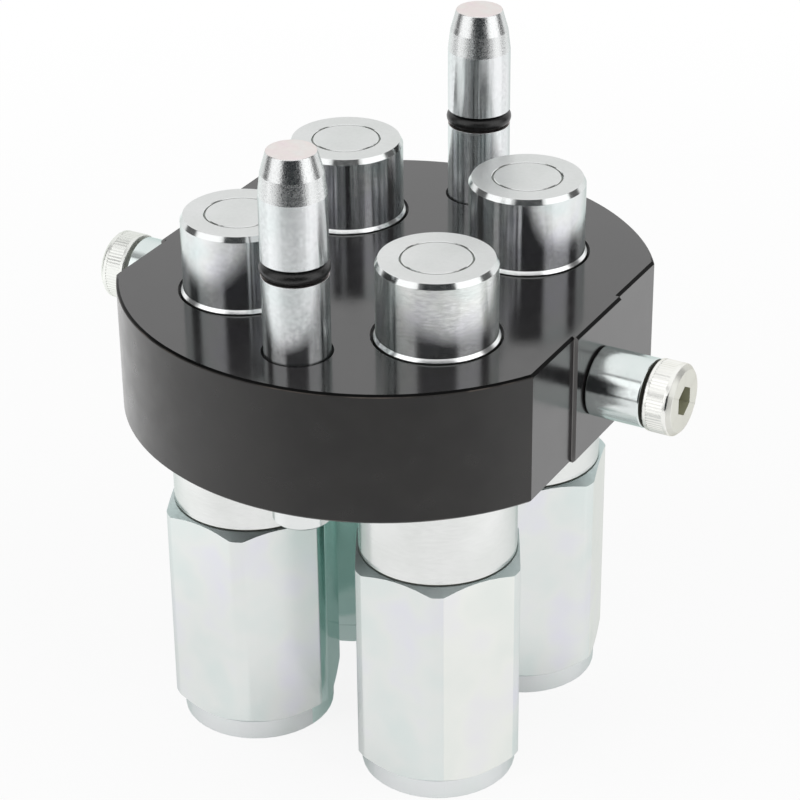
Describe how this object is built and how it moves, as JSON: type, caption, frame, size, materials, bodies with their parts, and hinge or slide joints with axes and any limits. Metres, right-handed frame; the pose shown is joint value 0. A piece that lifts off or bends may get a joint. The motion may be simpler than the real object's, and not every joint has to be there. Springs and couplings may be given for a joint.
{
  "type": "hydraulic multi-coupling",
  "caption": "Plug half of a hydraulic multi-coupling: a black round plate with flat-face couplings, guide pins, cam rollers and hexagonal ports.",
  "frame": {"origin": "centre of the plate's flat top face, where the two halves meet", "axes": "+Z towards the other half, +X towards the right cam roller, +Y towards the back guide pin"},
  "size_m": [0.1448, 0.119, 0.1535],
  "materials": {
    "black_anodised": "black anodised, milled and turned",
    "plated_steel": "turned steel, bright zinc plated",
    "plated_pin": "ground steel, bright zinc plated",
    "plated_hexagon": "drawn hexagon steel, blue-white zinc plated",
    "ring_steel": "bright spring steel",
    "spring_steel": "drawn spring wire",
    "plated_screw": "zinc plated, knurled head",
    "roller_steel": "ground steel, bright zinc plated",
    "seal_rubber": "moulded nitrile rubber"
  },
  "bodies": {
    "coupling_plate": {"plate": "black_anodised", "nose_body_front": "plated_steel", "retaining_ring_front": "ring_steel", "port_adaptor_front": "plated_hexagon", "adaptor_seal_front": "seal_rubber", "spring_cage_front": "plated_steel", "poppet_spring_front": "spring_steel", "nose_body_right": "plated_steel", "retaining_ring_right": "ring_steel", "port_adaptor_right": "plated_hexagon", "adaptor_seal_right": "seal_rubber", "spring_cage_right": "plated_steel", "poppet_spring_right": "spring_steel", "nose_body_back": "plated_steel", "retaining_ring_back": "ring_steel", "port_adaptor_back": "plated_hexagon", "adaptor_seal_back": "seal_rubber", "spring_cage_back": "plated_steel", "poppet_spring_back": "spring_steel", "nose_body_left": "plated_steel", "retaining_ring_left": "ring_steel", "port_adaptor_left": "plated_hexagon", "adaptor_seal_left": "seal_rubber", "spring_cage_left": "plated_steel", "poppet_spring_left": "spring_steel", "guide_pin_front": "plated_pin", "guide_pin_seal_front": "seal_rubber", "guide_pin_screw_front": "plated_screw", "guide_pin_washer_front": "plated_screw", "guide_pin_back": "plated_pin", "guide_pin_seal_back": "seal_rubber", "guide_pin_screw_back": "plated_screw", "guide_pin_washer_back": "plated_screw", "cam_screw_right": "plated_screw", "cam_screw_left": "plated_screw"},
    "valve_front": {"poppet_front": "plated_steel", "poppet_seal_front": "seal_rubber"},
    "valve_right": {"poppet_right": "plated_steel", "poppet_seal_right": "seal_rubber"},
    "valve_back": {"poppet_back": "plated_steel", "poppet_seal_back": "seal_rubber"},
    "valve_left": {"poppet_left": "plated_steel", "poppet_seal_left": "seal_rubber"},
    "roller_right": {"cam_roller_right": "roller_steel"},
    "roller_left": {"cam_roller_left": "roller_steel"}
  },
  "joints": [
    {"name": "valve_front_slide", "type": "slide", "parent": "coupling_plate", "child": "valve_front", "axis": [0, 0, -1], "range_m": [0, 0.009], "stiffness_N_per_m": 4000, "springref_m": -0.006, "deforming": ["poppet_spring_front"]},
    {"name": "valve_right_slide", "type": "slide", "parent": "coupling_plate", "child": "valve_right", "axis": [0, 0, -1], "range_m": [0, 0.009], "stiffness_N_per_m": 4000, "springref_m": -0.006, "deforming": ["poppet_spring_right"]},
    {"name": "valve_back_slide", "type": "slide", "parent": "coupling_plate", "child": "valve_back", "axis": [0, 0, -1], "range_m": [0, 0.009], "stiffness_N_per_m": 4000, "springref_m": -0.006, "deforming": ["poppet_spring_back"]},
    {"name": "valve_left_slide", "type": "slide", "parent": "coupling_plate", "child": "valve_left", "axis": [0, 0, -1], "range_m": [0, 0.009], "stiffness_N_per_m": 4000, "springref_m": -0.006, "deforming": ["poppet_spring_left"]},
    {"name": "roller_right_spin", "type": "hinge", "parent": "coupling_plate", "child": "roller_right", "pos_m": [0.0588, 0, -0.0152], "axis": [1, 0, 0], "continuous": true},
    {"name": "roller_left_spin", "type": "hinge", "parent": "coupling_plate", "child": "roller_left", "pos_m": [-0.0588, 0, -0.0152], "axis": [-1, 0, 0], "continuous": true}
  ]
}
